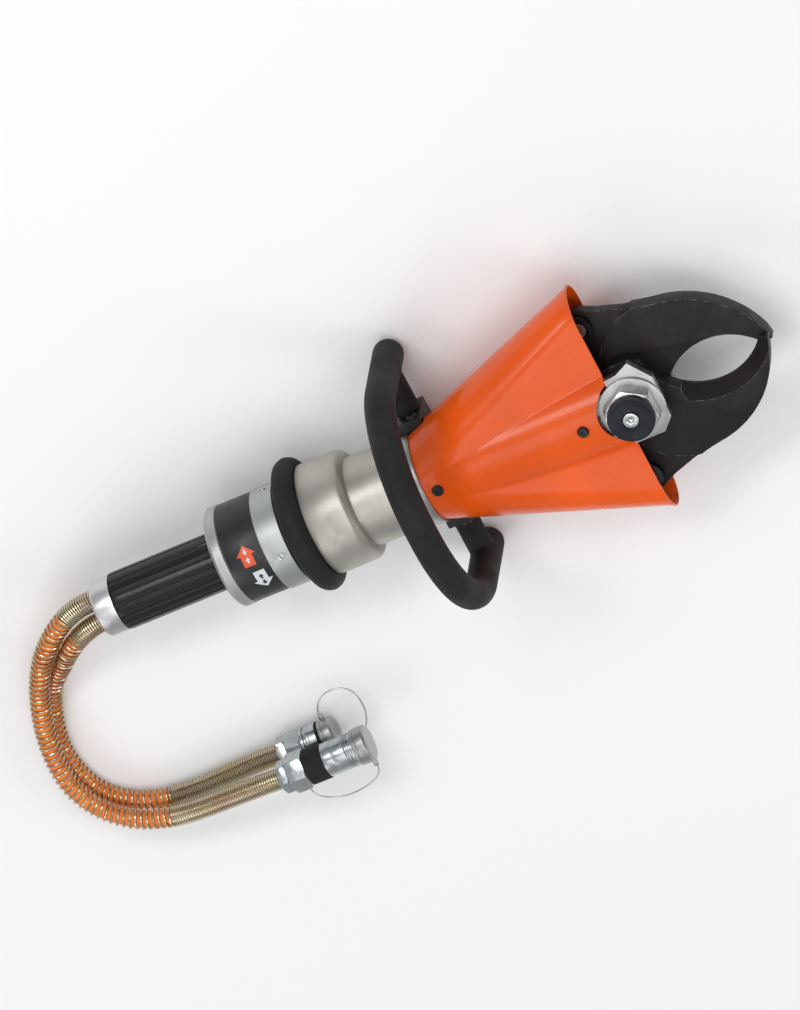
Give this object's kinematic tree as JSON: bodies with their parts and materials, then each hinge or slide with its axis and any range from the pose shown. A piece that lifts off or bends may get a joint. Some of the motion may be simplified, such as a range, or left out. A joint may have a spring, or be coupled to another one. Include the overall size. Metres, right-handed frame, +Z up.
{
  "type": "rescue cutter",
  "caption": "Hydraulic rescue cutter: curved blades in an orange guard on a cylinder with a bow carry handle, a ribbed control grip, spring-guarded hoses and capped couplers.",
  "frame": {"origin": "on the surface that the tool lies on, under the middle of the tool's length and width, the free hoses and couplers left out", "axes": "+X along the tool's axis towards the blade tips, +Z up and along the blades' pivot axis with the carry bow on top, +Y to the left"},
  "size_m": [0.863, 0.4183, 0.2235],
  "materials": {
    "cap_aluminium": "fine turned",
    "housing_silver": "bead blasted silver-grey",
    "cylinder_champagne": "satin champagne plating",
    "grip_black": "glossy black",
    "label_black": "satin black",
    "rubber_black": "moulded rubber",
    "hose_orange": "smooth orange rubber",
    "guard_orange": "gloss orange enamel",
    "blade_black": "phosphated, satin",
    "steel_black": "black oxide",
    "steel_bright": "nickel plated",
    "steel_satin": "satin machined",
    "steel_dark": "dark machined",
    "bronze": "machined bronze",
    "zinc_blue": "blue zinc plated",
    "zinc_gold": "yellow zinc plated wire",
    "cap_grey": "cast, satin"
  },
  "bodies": {
    "root": {"end_cap": "cap_aluminium", "hose_nipples": "bronze", "oil_tubes": "steel_satin", "grip_core": "steel_satin", "housing_rim": "housing_silver", "valve_housing": "housing_silver", "label_band": "label_black", "valve_block": "steel_satin", "grip_return_spring": "steel_satin", "housing_screws": "steel_bright", "bumper_ring": "rubber_black", "cylinder_collar": "cylinder_champagne", "cylinder_barrel": "cylinder_champagne", "front_flange": "steel_satin", "rod_gland": "bronze", "yoke": "steel_satin", "yoke_bolts": "steel_black", "thrust_washers": "bronze", "centre_bolt": "steel_satin", "pivot_washers": "steel_satin", "pivot_nut_front": "steel_bright", "pivot_nut_back": "steel_bright", "lock_cap_front": "steel_dark", "lock_cap_back": "steel_dark", "lock_screw": "steel_bright", "guard": "guard_orange", "guard_spacers": "steel_satin", "guard_screws": "steel_black", "handle_tube": "steel_satin", "handle_cover": "rubber_black", "handle_feet": "steel_black", "handle_bolts": "steel_black", "hose_a": "hose_orange", "hose_b": "hose_orange", "spring_guard_a": "zinc_gold", "spring_guard_b": "zinc_gold", "hose_nut_a": "zinc_blue", "hose_nut_b": "zinc_blue", "coupler_body_a": "zinc_blue", "coupler_body_b": "zinc_blue", "coupler_seal_b": "rubber_black", "lanyard_a": "steel_bright", "lanyard_b": "steel_bright"},
    "control_grip": {"control_grip": "grip_black", "valve_rotor": "bronze"},
    "piston": {"piston": "steel_satin", "piston_seal": "rubber_black", "piston_rod": "steel_bright", "piston_nut": "steel_dark", "crosshead": "steel_dark", "crosshead_pins": "steel_satin"},
    "blade_upper": {"blade_upper": "blade_black", "blade_pin_upper": "steel_satin"},
    "blade_lower": {"blade_lower": "blade_black", "blade_pin_lower": "steel_satin"},
    "link_upper": {"link_upper": "steel_dark"},
    "link_lower": {"link_lower": "steel_dark"},
    "coupler_sleeve": {"coupler_sleeve_a": "zinc_blue"},
    "dust_cap_a": {"dust_cap_a": "cap_grey"},
    "dust_cap_b": {"dust_cap_b": "cap_grey"}
  },
  "joints": [
    {"name": "blade_upper_pivot", "type": "hinge", "parent": "root", "child": "blade_upper", "pos_m": [0.218, 0, 0.069], "axis": [0, 0, 1], "range_deg": [-5, 32]},
    {"name": "blade_lower_pivot", "type": "hinge", "parent": "root", "child": "blade_lower", "pos_m": [0.218, 0, 0.069], "axis": [0, 0, 1], "range_deg": [-32, 5]},
    {"name": "piston_slide", "type": "slide", "parent": "root", "child": "piston", "axis": [1, 0, 0], "range_m": [-0.0565, 0.0089]},
    {"name": "link_upper_pin", "type": "hinge", "parent": "blade_upper", "child": "link_upper", "pos_m": [0.19485, 0.08075, 0.069], "axis": [0, 0, 1], "range_deg": [-49.4, 7.8]},
    {"name": "link_lower_pin", "type": "hinge", "parent": "blade_lower", "child": "link_lower", "pos_m": [0.19485, -0.08075, 0.069], "axis": [0, 0, 1], "range_deg": [-7.8, 49.4]},
    {"name": "control_grip_turn", "type": "hinge", "parent": "root", "child": "control_grip", "pos_m": [-0.28, 0, 0.069], "axis": [1, 0, 0], "range_deg": [-18, 18], "stiffness_Nm_per_rad": 0.6},
    {"name": "coupler_sleeve_turn", "type": "hinge", "parent": "root", "child": "coupler_sleeve", "pos_m": [-0.24, -0.243, 0.0545], "axis": [1, 0, 0], "range_deg": [0, 25]},
    {"name": "dust_cap_a_pull", "type": "slide", "parent": "root", "child": "dust_cap_a", "axis": [1, 0, 0], "range_m": [0, 0.02]},
    {"name": "dust_cap_b_pull", "type": "slide", "parent": "root", "child": "dust_cap_b", "axis": [1, 0, 0], "range_m": [0, 0.02]}
  ],
  "couplings": [
    {"joint": "blade_lower_pivot", "follows": "blade_upper_pivot", "ratio": -1},
    {"joint": "piston_slide", "follows": "blade_upper_pivot", "m_per_rad": -0.101},
    {"joint": "link_upper_pin", "follows": "blade_upper_pivot", "ratio": -1.54},
    {"joint": "link_lower_pin", "follows": "blade_upper_pivot", "ratio": 1.54}
  ]
}
